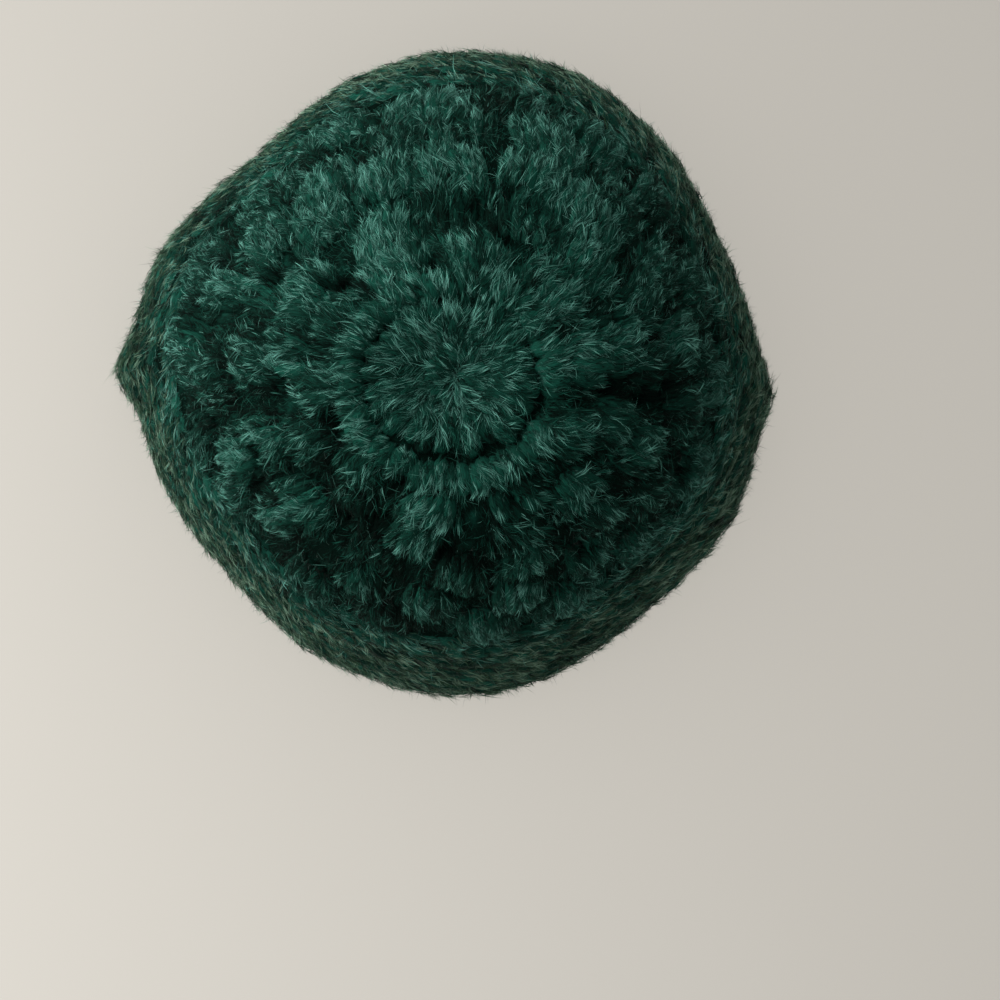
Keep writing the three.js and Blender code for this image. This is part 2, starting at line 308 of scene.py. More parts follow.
class HatSurface:
    """The smooth face at the foot of the stitches. All of its functions take arrays."""

    def __init__(self, sizes):
        self.rim_radius = sizes.rim_diameter / 2
        self.height = sizes.height
        self.lean = np.array([sizes.crown_side, -sizes.crown_lean])
        self.ridges = sizes.band_ridges
        self.measure_profile()
        self.measure_outline()
        self.offset = np.zeros(3)
        self.centre_on_frame(sizes)

    def measure_profile(self):
        """Walks along the profile's curve, so that shares are of its length."""
        rows = np.array([(row.out * self.rim_radius, row.up * self.height) for row in PROFILE])
        last = len(rows) - 1
        walked = []
        for i in range(last):
            before, here, there, after = (rows[min(max(k, 0), last)] for k in (i - 1, i, i + 1, i + 2))
            t = np.linspace(0, 1, 200, endpoint=False)[:, None]
            leaving, arriving = (there - before) / 2, (after - here) / 2
            walked.append(
                (2 * here - 2 * there + leaving + arriving) * t**3
                + (-3 * here + 3 * there - 2 * leaving - arriving) * t**2
                + leaving * t
                + here
            )
        points = np.vstack(walked + [rows[last:]])
        steps = np.linalg.norm(np.diff(points, axis=0), axis=1)
        self.shares = np.concatenate([[0], np.cumsum(steps) / steps.sum()])
        self.outs, self.ups = points.T

    def measure_outline(self):
        """Draws a smooth closed curve through the outline's table."""
        azimuths = np.array([row.azimuth for row in OUTLINE], float)
        shares = np.array([row.share for row in OUTLINE], float)
        azimuths = np.concatenate([azimuths - 360, azimuths, azimuths + 360])
        shares = np.tile(shares, 3)
        slopes = (np.roll(shares, -1) - np.roll(shares, 1)) / (np.roll(azimuths, -1) - np.roll(azimuths, 1))
        self.turns = np.linspace(0, 360, 721)
        i = np.searchsorted(azimuths, self.turns, side="right") - 1
        span = azimuths[i + 1] - azimuths[i]
        t = (self.turns - azimuths[i]) / span
        self.plan = (
            shares[i] * (2 * t**3 - 3 * t**2 + 1)
            + slopes[i] * span * (t**3 - 2 * t**2 + t)
            + shares[i + 1] * (3 * t**2 - 2 * t**3)
            + slopes[i + 1] * span * (t**3 - t**2)
        )

    def centre_on_frame(self, sizes):
        """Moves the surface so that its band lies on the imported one."""
        ridges = range(self.ridges)
        rows = [SEAM + (1 - SEAM) * (ridge + step) / self.ridges for ridge in ridges for step in (0, 0.3, 0.7)]
        azimuth, share = np.meshgrid(np.linspace(0, 360, 100, endpoint=False), rows + [1])
        lift = sizes.ridge_puff * self.ridge(share)
        at = self.face(azimuth, share) + self.outward(azimuth, share) * lift[..., None]
        low, high = at.reshape(-1, 3).min(axis=0), at.reshape(-1, 3).max(axis=0)
        middle = (np.array(BAND_BOX[0]) + np.array(BAND_BOX[1])) / 2
        self.offset[:2] = (middle - (low + high) / 2)[:2]

    def down(self, share):
        """The share of the way down the band."""
        return np.clip((share - SEAM) / (1 - SEAM), 0, 1)

    def face(self, azimuth, share):
        """Points of the smooth face."""
        azimuth, share = np.broadcast_arrays(np.asarray(azimuth, float), np.asarray(share, float))
        out = np.interp(share, self.shares, self.outs)
        up = np.interp(share, self.shares, self.ups)
        lean = (up / self.height) ** LEAN_POWER
        plan = np.interp(azimuth % 360, self.turns, self.plan)
        corner = 0
        for row in FOLD_CORNERS:
            off = np.abs((azimuth - row.azimuth + 180) % 360 - 180)
            corner = corner + row.reach * np.maximum(0, 1 - off / row.half_width) ** 1.5
        radius = out * (1 + (plan - 1) * out / self.rim_radius) + corner * np.sin(math.pi / 2 * self.down(share))
        angle = np.radians(azimuth)
        x = self.lean[0] * lean + radius * np.cos(angle)
        y = self.lean[1] * lean + radius * np.sin(angle)
        return np.stack([x, y, up], axis=-1) + self.offset

    def outward(self, azimuth, share):
        """The direction away from the hat, which turns level towards the rim."""
        step = 0.004
        away = np.maximum(share, step)
        across = self.face(azimuth + 0.5, away) - self.face(azimuth - 0.5, away)
        along = self.face(azimuth, np.minimum(away + step, 1)) - self.face(azimuth, away - step)
        direction = unit(np.cross(along, across))
        direction[..., 2] *= 1 - self.down(share) ** 2
        return unit(direction)

    def dent(self, at):
        """The depth of the dents at points of the smooth face."""
        depth = np.zeros(at.shape[:-1])
        for row in DENTS:
            start, end = self.face(*row.start), self.face(*row.end)
            way = end - start
            t = np.clip(((at - start) @ way) / (way @ way), 0, 1)
            off = np.linalg.norm(at - start - t[..., None] * way, axis=-1) / row.half_width
            depth += row.depth * np.exp(-off * off)
        return depth

    def ridge(self, share):
        """How far the band's ridges stand out, as a share of their most."""
        return np.sqrt(np.abs(np.sin(math.pi * self.down(share) * self.ridges)))

    def around(self, share):
        """The mean distance round the hat."""
        return 2 * math.pi * np.interp(share, self.shares, self.outs)

    def relief(self, sizes, azimuth, share):
        """How far the disc, its ring and the shells stand out."""
        up = share / DISC_END
        groove = sizes.disc_groove * at_front(azimuth) * up**6
        lift = np.where(up < 1, sizes.disc_puff * (1 - up**4) - groove, 0.0)
        ring = (share - DISC_END) / (SHELL_ROUNDS[0].start - DISC_END)
        lift = np.where((ring >= 0) & (ring < 1), sizes.ring_puff * self.swell(ring), lift)
        for row in SHELL_ROUNDS:
            up = (share - row.start) / (row.end - row.start)
            across = 2 * ((azimuth / 360 * row.shells + row.turn) % 1) - 1
            fan = sizes.shell_puff * self.swell(up) * (1 - 0.85 * across**4)
            lift = np.where((up >= 0) & (up < 1), fan, lift)
        return lift

    @staticmethod
    def swell(up):
        """How far a round stands out over its depth, as a share of its most."""
        return np.sqrt(np.sin(math.pi * (0.04 + 0.92 * np.clip(up, 0, 1))))

    def hollow(self, at):
        """How near points of the smooth face are to a pit, from 0 to 1, and the push that leads away from it."""
        near, push = np.zeros(at.shape[:-1]), np.zeros(at.shape)
        for row in PITS:
            away = at - self.face(row.azimuth, row.share)
            off = np.linalg.norm(away, axis=-1)
            close = np.exp(-((off / row.reach) ** 2))
            near = np.maximum(near, close)
            push += away * (0.7 * row.reach * close / np.maximum(off, 1e-4))[..., None]
        return near, push

    def place(self, azimuth, share, lift):
        """Points that stand out by a lift from the face with its dents and pits."""
        at = self.face(azimuth, share)
        near, push = self.hollow(at)
        return at + push + self.outward(azimuth, share) * (lift - self.dent(at) - PIT_DEPTH * near)[..., None]


def at_front(azimuth):
    """How near an azimuth is to the hat's front: 1 there, and 0 at the back."""
    return (1 - np.sin(np.radians(azimuth))) / 2


def unit(vectors):
    """Vectors of length 1 with the same directions."""
    return vectors / np.maximum(np.linalg.norm(vectors, axis=-1, keepdims=True), 1e-12)


def waves(at, rng, size):
    """A value for each point that wanders smoothly about 0, with a deviation of 1, over distances near a size."""
    count = 9
    total = 0
    for _ in range(count):
        way = unit(rng.normal(0, 1, 3)) * (2 * math.pi / (size * rng.uniform(0.7, 1.6)))
        total = total + np.sin(at @ way + rng.uniform(0, 2 * math.pi))
    return total / math.sqrt(count / 2)


class Stitches:
    """Puffy lengths of yarn that lie on the hat, as arrays with one entry for each."""

    def __init__(self, surface, rows):
        self.surface = surface
        values = np.array(rows, float).T
        self.azimuth, self.azimuth_end, self.share, self.share_end, self.width, self.lift = values[:6]
        self.tone, self.foot, self.tip = values[6:]
        ends = surface.face(self.azimuth, self.share) - surface.face(self.azimuth_end, self.share_end)
        self.length = np.linalg.norm(ends, axis=-1)

    def centre(self, k, t):
        """Azimuth, share and point of the centre lines of stitches k at the shares t of their length."""
        azimuth = self.azimuth[k] + (self.azimuth_end - self.azimuth)[k] * t
        share = np.clip(self.share[k] + (self.share_end - self.share)[k] * t, 0.002, 0.999)
        return azimuth, share, self.surface.place(azimuth, share, self.lift[k] * self.swell(t))

    @staticmethod
    def swell(t):
        """How full a stitch is along its length."""
        return np.sin(math.pi * (0.1 + 0.8 * np.clip(t, 0, 1))) ** 0.6

    def shade(self, k, t):
        """Painted shade: how much darker a stitch is towards its foot and its tip."""
        foot = self.foot[k] * np.clip(1 - t / 0.25, 0, 1.2) ** 1.3
        return foot + self.tip[k] * np.clip(t / 0.35 - 1.86, 0, 1.2) ** 1.5

    def frames(self, k, t):
        """Centre, direction, sideways, upwards and radius of stitches k at the shares t of their length."""
        azimuth, share, centre = self.centre(k, t)
        along = unit(self.centre(k, t + 0.04)[2] - self.centre(k, t - 0.04)[2])
        sideways = unit(np.cross(along, self.surface.outward(azimuth, share)))
        upwards = np.cross(sideways, along)
        return centre, along, sideways, upwards, self.width[k] / 2 * self.swell(t)

    def tubes(self, name, stations, sides):
        """One closed tapered tube for each stitch."""
        count = len(self.width)
        k, t = np.meshgrid(np.arange(count), np.linspace(0, 1, stations), indexing="ij")
        centre, along, sideways, upwards, radius = self.frames(k, t)
        turn = np.linspace(0, 2 * math.pi, sides, endpoint=False)[:, None]
        rings = centre[:, :, None] + radius[:, :, None, None] * (
            sideways[:, :, None] * np.cos(turn) + TUBE_HEIGHT * upwards[:, :, None] * np.sin(turn)
        )
        tips = centre[:, [0, -1]] + along[:, [0, -1]] * radius[:, [0, -1], None] * np.array([-0.5, 0.5])[:, None]
        points = np.concatenate([rings.reshape(count, -1, 3), tips], axis=1)
        each = stations * sides
        ring, side = np.meshgrid(np.arange(stations - 1), np.arange(sides), indexing="ij")
        here, beside = ring * sides + side, ring * sides + (side + 1) % sides
        quads = np.stack([here, here + sides, beside + sides, beside], axis=-1).reshape(-1, 4)
        around = np.arange(sides)
        follows = (around + 1) % sides
        last = (stations - 1) * sides
        ends = np.concatenate(
            [
                np.stack([np.full(sides, each), around, follows], axis=-1),
                np.stack([np.full(sides, each + 1), last + follows, last + around], axis=-1),
            ]
        )
        shift = np.arange(count)[:, None, None] * (each + 2)
        along_uv = np.concatenate([np.repeat(np.linspace(0.05, 0.95, stations), sides), [0.0, 1.0]])
        spread = np.concatenate([np.tile(0.05 * np.cos(turn[:, 0]), stations), [0.0, 0.0]])
        # Painted shade: a stitch's core is darker than the fibres over it.
        tone = np.clip(self.tone - CORE_SHADE, 0.06, 0.94)[:, None] + spread
        uv = np.stack([tone, np.broadcast_to(along_uv, tone.shape)], axis=-1)
        faces = [(quads + shift).reshape(-1, 4), (ends + shift).reshape(-1, 3)]
        return joined_mesh(name, points.reshape(-1, 3), faces, uv.reshape(-1, 2))

    def roots(self, kind, count, rng, look):
        """Roots, directions, ways off the hat, tones and shares of length of fibres that grow from the stitches."""
        clumps = count // kind.clump
        area = self.length * self.width
        k = rng.choice(len(area), clumps, p=area / area.sum())
        t = rng.uniform(-0.1, 0.95, clumps)
        around = rng.uniform(-1.45, 1.45, clumps)
        middle = self.frames(k, t)[0]
        yaw = look.wander * waves(middle, rng, LOCK_SIZE) + rng.normal(0, kind.stray, clumps)
        lift = rng.gamma(2.0, kind.lift / 2, clumps)
        tone = self.tone[k] + kind.tone + rng.normal(0, kind.spread, clumps)
        for strength, size in PATCHES:
            tone += strength * waves(middle, rng, size)
        tone = np.where(rng.random(clumps) < kind.bright, tone + BRIGHT_CLUMP, tone)
        own = np.repeat(np.arange(clumps), kind.clump)
        many = len(own)
        along_by = t[own] + rng.normal(0, 0.04, many)
        centre, along, sideways, upwards, radius = self.frames(k[own], along_by)
        around = around[own] + rng.normal(0, 0.1, many)
        away = sideways * np.sin(around)[:, None] + upwards * np.cos(around)[:, None]
        root = centre + away * (radius * 0.9)[:, None]
        yaw = yaw[own] + rng.normal(0, 0.07, many)
        across = np.cross(away, along)
        flat = along * np.cos(yaw)[:, None] + across * np.sin(yaw)[:, None]
        direction = unit(flat + away * (lift[own] + rng.normal(0, 0.05, many))[:, None])
        # Painted shade: fibres are darker at a stitch's flanks, at its foot and tip, in pits and in valleys.
        tone = tone[own] + rng.normal(0, 0.08, many) - FLANK_SHADE * around**2 - self.shade(k[own], along_by)
        tone -= PIT_SHADE * self.surface.hollow(root)[0] + DENT_SHADE * self.surface.dent(root)
        reach = 1 - 0.35 * np.clip((along_by - 0.55) / 0.4, 0, 1)
        return root, direction, away, tone, reach


def ground_roots(surface, sizes, kind, count, rng, look):
    """Fibres that lie on the crown's wall between the stitches and lead away from its centre."""
    azimuth = rng.uniform(0, 360, count)
    share = SEAM * np.sqrt(rng.uniform(0.0, 1, count))
    root = surface.place(azimuth, share, WALL_RELIEF * surface.relief(sizes, azimuth, share))
    away = surface.outward(azimuth, share)
    along = unit(surface.face(azimuth, share + 0.004) - surface.face(azimuth, share))
    yaw = look.wander * waves(root, rng, LOCK_SIZE) + rng.normal(0, kind.stray, count)
    flat = along * np.cos(yaw)[:, None] + np.cross(away, along) * np.sin(yaw)[:, None]
    direction = unit(flat + away * rng.gamma(2.0, kind.lift / 2, count)[:, None])
    # Painted shade: fibres between the stitches are darker, more so at the front, and in pits.
    tone = 0.5 + kind.tone * (0.3 + at_front(azimuth)) + rng.normal(0, kind.spread, count)
    tone -= GROUND_PIT_SHADE * surface.hollow(root)[0]
    return root, direction, away, tone, np.ones(count)


def joined_mesh(name, points, faces, uv):
    """A smooth mesh from arrays: points, groups of faces with one corner count each, and a UV place per point.
    No point lies under the floor."""
    points = np.maximum(points, [-np.inf, -np.inf, FLOOR_GAP])
    corners = np.concatenate([group.ravel() for group in faces]).astype(np.int32)
    counts = np.concatenate([np.full(len(group), group.shape[1]) for group in faces])
    mesh = bpy.data.meshes.new(name)
    mesh.vertices.add(len(points))
    mesh.vertices.foreach_set("co", points.astype(np.float32).ravel())
    mesh.loops.add(len(corners))
    mesh.loops.foreach_set("vertex_index", corners)
    mesh.polygons.add(len(counts))
    mesh.polygons.foreach_set("loop_start", np.concatenate([[0], np.cumsum(counts)[:-1]]).astype(np.int32))
    mesh.polygons.foreach_set("use_smooth", np.ones(len(counts), bool))
    mesh.update(calc_edges=True)
    layer = mesh.uv_layers.new(name="OFBake")
    layer.data.foreach_set("uv", uv.astype(np.float32)[corners].ravel())
    return mesh


def fibre_mesh(name, fibres, length, width, bent, rng):
    """Tapering ribbons, one for each root: a bent one has three triangles, and a straight one is a single triangle."""
    root, direction, away, tone = fibres
    count = len(root)
    sideways = unit(np.cross(direction, away))
    roll = rng.normal(0, 0.7, count)[:, None]
    half = (sideways * np.cos(roll) + np.cross(direction, sideways) * np.sin(roll)) * (width / 2)[:, None]
    bend = rng.normal(0, 0.14, count)[:, None] * sideways - rng.uniform(0.05, 0.4, count)[:, None] * away
    reach, bend = direction * length[:, None], bend * length[:, None]
    if bent:
        middle = root + 0.5 * reach + 0.25 * bend
        stations = [root - half, root + half, middle - 0.8 * half, middle + 0.8 * half, root + reach + bend]
        along, shapes = [0.01, 0.01, 0.5, 0.5, 0.99], ([0, 1, 3, 2], [2, 3, 4])
    else:
        stations = [root - half, root + half, root + reach + 0.5 * bend]
        along, shapes = [0.01, 0.01, 0.99], ([0, 1, 2],)
    points = np.stack(stations, axis=1)
    first = (np.arange(count) * len(along))[:, None]
    faces = [first + np.array(shape) for shape in shapes]
    tone = np.clip(tone, 0.01, 0.99)[:, None] + np.resize([-0.002, 0.002], len(along))
    uv = np.stack([tone, np.broadcast_to(np.array(along), tone.shape)], axis=-1).reshape(-1, 2)
    return joined_mesh(name, points.reshape(-1, 3), faces, uv)


def shell_stitches(surface, sizes):
    """The starting disc, the ring round it, and the rounds of fanned shells."""
    rng = np.random.default_rng(11)
    rows = []

    def add(azimuth, azimuth_end, share, share_end, width, top, tone, foot=0.0, tip=0.0):
        lift = top - TOP_TO_CENTRE * width
        rows.append((azimuth, azimuth_end, share, share_end, width, lift, tone + rng.normal(0, 0.05), foot, tip))

    def azimuths(kind):
        for k in range(kind.count):
            yield 360 * (k + rng.normal(0, kind.stray)) / kind.count

    def disc_edge(azimuth):
        return DISC_END + LEFT_BULGE * max(0, -math.cos(math.radians(azimuth))) ** 2

    kind = INNER_POSTS
    for azimuth in azimuths(kind):
        add(azimuth, azimuth + kind.turn, INNER_START, INNER_END, INNER_WIDTH, sizes.disc_puff, kind.tone)
    kind = DISC_POSTS
    width = DISC_CROWDING * surface.around(DISC_END) / kind.count
    for azimuth in azimuths(kind):
        front = at_front(azimuth)
        end = disc_edge(azimuth) + DISC_OVERLAP - DRAW_BACK * front + rng.normal(0, 0.005)
        # Painted shade: at the front the disc's tips darken, for the shadow in the groove there.
        tip = kind.tip * front**2
        add(azimuth, azimuth + kind.turn, DISC_POST_START, end, width, sizes.disc_puff, kind.tone, tip=tip)
    kind = RING_POSTS
    width = RING_CROWDING * surface.around(RING_MIDDLE) / kind.count
    top = sizes.ring_puff + EXTRA_PUFF
    for azimuth in azimuths(kind):
        front = at_front(azimuth)
        start = disc_edge(azimuth) + DRAW_BACK * front**2 + rng.normal(0, 0.0035)
        # Painted shade: at the front the ring's feet darken, for the shadow in the groove by the disc.
        add(azimuth, azimuth + kind.turn, start, start + RING_DEPTH, width, top, kind.tone, kind.foot * front)
    for row in SHELL_ROUNDS:
        depth = row.end - row.start
        room = 360 / row.shells
        width = SHELL_CROWDING * surface.around(row.end) / (row.shells * SHELL_POSTS)
        last = row is SHELL_ROUNDS[-1]
        for k in range(row.shells):
            middle = room * (k + 0.5 - row.turn + rng.normal(0, 0.06))
            front = at_front(middle)
            # Painted shade: shells at the front take a lower tone and darker feet, as the front faces away from the
            # light.
            shell = Shell(*(back + (fore - back) * front for back, fore in zip(BACK_SHELL, FRONT_SHELL)))
            tone = shell.tone + rng.normal(0, 0.06)
            slant, shift = rng.normal(0, 0.1), rng.normal(0, 0.1)
            rise = (sizes.shell_puff + EXTRA_PUFF) * rng.uniform(0.9, 1.15) * shell.rise
            reach = SHELL_REACH + shift + (rng.uniform(0, SEAM_REACH) if last else 0)
            for post in range(SHELL_POSTS):
                place = (post - (SHELL_POSTS - 1) / 2) / SHELL_POSTS
                start = row.start + depth * (shift - 0.05 + rng.normal(0, 0.02))
                end = row.start + depth * (reach - 1.2 * place**2 + rng.normal(0, 0.03))
                near, far = middle + room * shell.spread * place, middle + room * (TIP_SPREAD * place + slant)
                top = rise * (1 - shell.droop * place**2)
                # Painted shade: a shell's sides and feet are darker, for the valleys between shells and rounds.
                add(near, far, start, end, width, top, tone - shell.side_shade * place**2, shell.foot)
    return Stitches(surface, rows)


def ridge_stitches(surface, sizes):
    """The slanted stitches on the crests of the band's ridges, and the short posts in its grooves."""
    rng = np.random.default_rng(23)
    crests, grooves = [], []
    height = (1 - SEAM) / sizes.band_ridges
    step = 360 / RIDGE_STITCHES
    for ridge in range(sizes.band_ridges):
        turn = rng.random()
        for k in range(RIDGE_STITCHES):
            azimuth = step * (k + turn + rng.normal(0, 0.12))
            start = SEAM + height * (ridge + CREST.start + rng.normal(0, 0.04))
            end = SEAM + height * (ridge + CREST.end + rng.normal(0, 0.04))
            lift = sizes.ridge_puff + rng.normal(0, 0.0003) - TOP_TO_CENTRE * CREST.width
            lighter = rng.normal(0, 0.07)
            place = (azimuth, azimuth + CREST.turn * step, start, end)
            # Painted shade: the crests darken at foot and tip, and the short stitches in the grooves take a lower tone.
            crests.append((*place, CREST.width, lift, CREST.tone + lighter, CREST.foot, CREST.tip))
            start = SEAM + height * (ridge + GROOVE.start)
            end = min(SEAM + height * (ridge + GROOVE.end), LAST_SHARE)
            lift = GROOVE_TOP - TOP_TO_CENTRE * GROOVE.width
            place = (azimuth, azimuth + GROOVE.turn * step, start, end)
            grooves.append((*place, GROOVE.width, lift, GROOVE.tone + lighter, GROOVE.foot, GROOVE.tip))
    return Stitches(surface, crests), Stitches(surface, grooves)


def new_piece(mesh, material, replaces=()):
    """Puts a mesh in the scene as a piece of the hat."""
    piece = bpy.data.objects.new(mesh.name, mesh)
    bpy.context.collection.objects.link(piece)
    mesh.materials.append(material)
    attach(piece, "root")
    if replaces:
        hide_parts(*replaces)
    return piece


def node(tree, kind, sockets=None, **settings):
    """A node with its settings and the values of its sockets filled in."""
    made = tree.nodes.new(kind)
    for name, value in settings.items():
        setattr(made, name, value)
    for name, value in (sockets or {}).items():
        made.inputs[name].default_value = value
    return made


def colour(value):
    """A colour for a socket, which also takes an alpha."""
    return (*value, 1.0)


def yarn_tone_group():
    """Colour of brushed yarn: from the darkest to the lightest strand, from root to tip, with fine streaks along."""
    name = "Yarn Tone"
    if name in bpy.data.node_groups:
        return bpy.data.node_groups[name]
    group = bpy.data.node_groups.new(name, "ShaderNodeTree")
    sockets = group.interface
    for socket in ("Tone", "Along", "Root Shade", "Streaks"):
        sockets.new_socket(socket, in_out="INPUT", socket_type="NodeSocketFloat")
    for socket in ("Dark", "Middle", "Light"):
        sockets.new_socket(socket, in_out="INPUT", socket_type="NodeSocketColor")
    sockets.new_socket("Color", in_out="OUTPUT", socket_type="NodeSocketColor")
    values = group.nodes.new("NodeGroupInput").outputs
    result = group.nodes.new("NodeGroupOutput")
    link = group.links.new

    low = node(group, "ShaderNodeMapRange", {"From Min": 0.1, "From Max": 0.55}, interpolation_type="SMOOTHSTEP")
    high = node(group, "ShaderNodeMapRange", {"From Min": 0.5, "From Max": 0.98}, interpolation_type="SMOOTHSTEP")
    dark_to_middle = node(group, "ShaderNodeMix", data_type="RGBA")
    middle_to_light = node(group, "ShaderNodeMix", data_type="RGBA")
    link(values["Tone"], low.inputs["Value"])
    link(values["Tone"], high.inputs["Value"])
    link(low.outputs["Result"], dark_to_middle.inputs["Factor"])
    link(values["Dark"], dark_to_middle.inputs["A"])
    link(values["Middle"], dark_to_middle.inputs["B"])
    link(high.outputs["Result"], middle_to_light.inputs["Factor"])
    link(dark_to_middle.outputs["Result"], middle_to_light.inputs["A"])
    link(values["Light"], middle_to_light.inputs["B"])

    # Streaks are a noise that is drawn out along the strand. They lie between 1 and 1 plus their strength.
    across = node(group, "ShaderNodeMath", {1: 420}, operation="MULTIPLY")
    along = node(group, "ShaderNodeMath", {1: 4}, operation="MULTIPLY")
    spot = node(group, "ShaderNodeCombineXYZ")
    noise = node(group, "ShaderNodeTexNoise", {"Scale": 1.0, "Detail": 2.0}, noise_dimensions="2D")
    streak = node(group, "ShaderNodeMapRange", {"From Min": 0.5, "From Max": 0.8, "To Min": 1.0}, clamp=False)
    most = node(group, "ShaderNodeMath", {1: 1.0}, operation="ADD")
    link(values["Tone"], across.inputs[0])
    link(values["Along"], along.inputs[0])
    link(across.outputs["Value"], spot.inputs["X"])
    link(along.outputs["Value"], spot.inputs["Y"])
    link(spot.outputs["Vector"], noise.inputs["Vector"])
    link(noise.outputs["Fac"], streak.inputs["Value"])
    link(values["Streaks"], most.inputs[0])
    link(most.outputs["Value"], streak.inputs["To Max"])

    # Painted shade at each strand's root, where fibres lie over each other, and a painted highlight at its tip.
    root = node(group, "ShaderNodeMapRange", {"From Max": 0.6, "To Max": 1.15})
    shade = node(group, "ShaderNodeMath", operation="MULTIPLY")
    shaded = node(group, "ShaderNodeVectorMath", operation="SCALE")
    link(values["Along"], root.inputs["Value"])
    link(values["Root Shade"], root.inputs["To Min"])
    link(root.outputs["Result"], shade.inputs[0])
    link(streak.outputs["Result"], shade.inputs[1])
    link(middle_to_light.outputs["Result"], shaded.inputs["Vector"])
    link(shade.outputs["Value"], shaded.inputs["Scale"])
    link(shaded.outputs["Vector"], result.inputs["Color"])
    return group


def new_material(name, sockets):
    """A material with values on its shader's own sockets, its node tree, and its shader."""
    material = bpy.data.materials.new(name)
    material.use_nodes = True
    shader = material.node_tree.nodes["Principled BSDF"]
    for socket, value in sockets.items():
        shader.inputs[socket].default_value = value
    return material, material.node_tree, shader


def tone_node(tree, colours, root_shade, streaks):
    """The yarn's colouring with a material's own values."""
    sockets = {name: colour(value) for name, value in zip(("Dark", "Middle", "Light"), colours)}
    sockets.update({"Root Shade": root_shade, "Streaks": streaks})
    return node(tree, "ShaderNodeGroup", sockets, node_tree=yarn_tone_group())


def yarn_material(name, colours, root_shade, streaks, sheen):
    """Brushed yarn whose colour follows the strands' own UV map."""
    finish = {"Roughness": 0.8, "Specular IOR Level": 0.04}
    gloss = {"Sheen Weight": sheen, "Sheen Roughness": 0.5, "Sheen Tint": colour((0.75, 0.85, 0.78))}
    material, tree, shader = new_material(name, finish | gloss)
    link = tree.links.new
    place = node(tree, "ShaderNodeUVMap", uv_map="OFBake")
    parts = node(tree, "ShaderNodeSeparateXYZ")
    tone = tone_node(tree, colours, root_shade, streaks)
    link(place.outputs["UV"], parts.inputs["Vector"])
    link(parts.outputs["X"], tone.inputs["Tone"])
    link(parts.outputs["Y"], tone.inputs["Along"])
    link(tone.outputs["Color"], shader.inputs["Base Color"])
    return material


def wall_material(colours, inner_start):
    """Matted yarn with a fine grain: dark between the stitches outside, and plain inside, from a place on the UV map's
    way over the crown, round the rim and back."""
    material, tree, shader = new_material("matted_yarn", {"Roughness": 0.95, "Specular IOR Level": 0.04})
    link = tree.links.new
    place = node(tree, "ShaderNodeTexCoord")
    blotches = node(tree, "ShaderNodeTexNoise", {"Scale": 160.0, "Detail": 3.0})
    grain = node(tree, "ShaderNodeTexNoise", {"Scale": 1400.0, "Detail": 4.0, "Roughness": 0.65})
    way = node(tree, "ShaderNodeUVMap", uv_map="OFBake")
    parts = node(tree, "ShaderNodeSeparateXYZ")
    # Painted shade: the outer face, seen only in the gaps between the stitches, is darker; blotches add real mottling.
    ends = {"From Min": inner_start, "From Max": inner_start + 0.02, "To Min": -0.4, "To Max": 0.0}
    side = node(tree, "ShaderNodeMapRange", ends)
    mottles_and_shade = node(tree, "ShaderNodeMath", operation="ADD")
    tone = tone_node(tree, colours, 0.5, 0.0)
    bump = node(tree, "ShaderNodeBump", {"Strength": 0.8, "Distance": 0.0006})
    link(place.outputs["Object"], blotches.inputs["Vector"])
    link(place.outputs["Object"], grain.inputs["Vector"])
    link(way.outputs["UV"], parts.inputs["Vector"])
    link(parts.outputs["Y"], side.inputs["Value"])
    link(blotches.outputs["Fac"], mottles_and_shade.inputs[0])
    link(side.outputs["Result"], mottles_and_shade.inputs[1])
    link(mottles_and_shade.outputs["Value"], tone.inputs["Tone"])
    link(grain.outputs["Fac"], tone.inputs["Along"])
    link(grain.outputs["Fac"], bump.inputs["Height"])
    link(tone.outputs["Color"], shader.inputs["Base Color"])
    link(bump.outputs["Normal"], shader.inputs["Normal"])
    return material


def yarn_colours(look):
    """The yarn's darkest, middle and lightest colours."""
    return look.dark, look.middle, look.light


class BeanieSizes(bpy.types.PropertyGroup):
    """Sizes of the hat and of its stitches."""

    rim_diameter: FloatProperty(
        name="Rim Diameter", description="Mean, at the foot of the stitches", default=0.197, unit="LENGTH"
    )
    height: FloatProperty(
        name="Height", description="Floor to the top of the smooth crown", default=0.124, unit="LENGTH"
    )
    crown_lean: FloatProperty(
        name="Crown Lean", description="How far the crown leans to the front", default=0.015, unit="LENGTH"
    )
    crown_side: FloatProperty(
        name="Crown Side", description="How far the crown leans to the right", default=0.006, unit="LENGTH"
    )
    wall: FloatProperty(
        name="Wall", description="Inner face to the foot of the stitches", default=0.0075, unit="LENGTH"
    )
    disc_puff: FloatProperty(
        name="Disc Puff", description="How far the starting disc stands out", default=0.0045, unit="LENGTH"
    )
    disc_groove: FloatProperty(
        name="Disc Groove", description="Depth of the groove round the disc at the front", default=0.0026, unit="LENGTH"
    )
    ring_puff: FloatProperty(
        name="Ring Puff", description="How far the ring round it stands out", default=0.003, unit="LENGTH"
    )
    shell_puff: FloatProperty(
        name="Shell Puff", description="How far a shell stands out", default=0.0034, unit="LENGTH"
    )
    ridge_puff: FloatProperty(
        name="Ridge Puff", description="How far a ridge of the band stands out", default=0.0026, unit="LENGTH"
    )
    band_ridges: IntProperty(name="Band Ridges", description="Ridges from the last shells to the rim", default=8, min=4)


